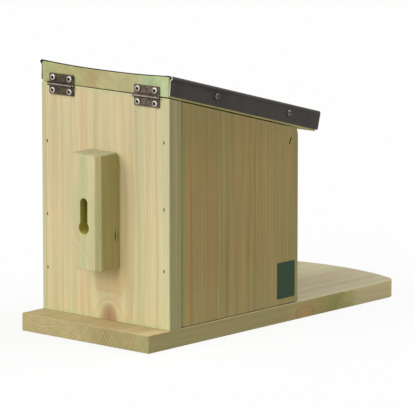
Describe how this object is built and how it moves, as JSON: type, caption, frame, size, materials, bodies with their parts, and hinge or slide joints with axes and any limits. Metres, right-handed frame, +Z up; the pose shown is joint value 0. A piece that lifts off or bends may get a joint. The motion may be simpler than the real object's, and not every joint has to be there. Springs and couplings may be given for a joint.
{
  "type": "squirrel feeder box",
  "caption": "Wooden nut box with a hinged roof under a folded metal sheet, a clear front, a bowed base board as the feeding platform and a keyholed block to hang it by.",
  "frame": {"origin": "centre of the base board's footprint, on the ground", "axes": "+Z up, +Y towards the back with its hinges and hanging block, -Y towards the bowed feeding platform, +X to the right as seen from the platform's side looking at the box"},
  "size_m": [0.1756, 0.398, 0.2701],
  "materials": {
    "pale_pine": "bare planed pine, pale",
    "shaded_pine": "bare planed pine",
    "green_pine": "pressure treated pine with a light green tint",
    "roof_metal": "satin dark brown",
    "hinge_steel": "dark bronzed",
    "bright_steel": "bright zinc",
    "nail_steel": "dull coated",
    "clear_sheet": "clear",
    "label_green": "smooth dark green"
  },
  "bodies": {
    "box": {"back_brad_left_1": "nail_steel", "back_brad_left_2": "nail_steel", "back_brad_left_3": "nail_steel", "back_brad_right_1": "nail_steel", "back_brad_right_2": "nail_steel", "back_brad_right_3": "nail_steel", "back_panel": "pale_pine", "base_board": "shaded_pine", "base_screw_back_1": "bright_steel", "base_screw_back_2": "bright_steel", "base_screw_left_1": "bright_steel", "base_screw_left_2": "bright_steel", "base_screw_right_1": "bright_steel", "base_screw_right_2": "bright_steel", "block_screw_1": "bright_steel", "block_screw_2": "bright_steel", "front_rail": "pale_pine", "front_window": "clear_sheet", "hanging_block": "green_pine", "hinge_leaf_left_fixed": "hinge_steel", "hinge_leaf_right_fixed": "hinge_steel", "hinge_pin_left": "bright_steel", "hinge_pin_right": "bright_steel", "hinge_screw_left_fixed_1": "bright_steel", "hinge_screw_left_fixed_2": "bright_steel", "hinge_screw_right_fixed_1": "bright_steel", "hinge_screw_right_fixed_2": "bright_steel", "plain_label": "label_green", "rail_staple_left": "nail_steel", "rail_staple_right": "nail_steel", "side_panel_left": "shaded_pine", "side_panel_right": "shaded_pine"},
    "lid": {"hinge_leaf_left_lid": "hinge_steel", "hinge_leaf_right_lid": "hinge_steel", "hinge_screw_left_lid_1": "bright_steel", "hinge_screw_left_lid_2": "bright_steel", "hinge_screw_right_lid_1": "bright_steel", "hinge_screw_right_lid_2": "bright_steel", "roof_board": "green_pine", "roof_screw_left_1": "bright_steel", "roof_screw_left_2": "bright_steel", "roof_screw_right_1": "bright_steel", "roof_screw_right_2": "bright_steel", "roof_sheet": "roof_metal"}
  },
  "joints": [
    {"name": "lid_hinge", "type": "hinge", "parent": "box", "child": "lid", "pos_m": [0, 0.1705, 0.24775], "axis": [-1, 0, 0], "range_deg": [0, 107]}
  ]
}
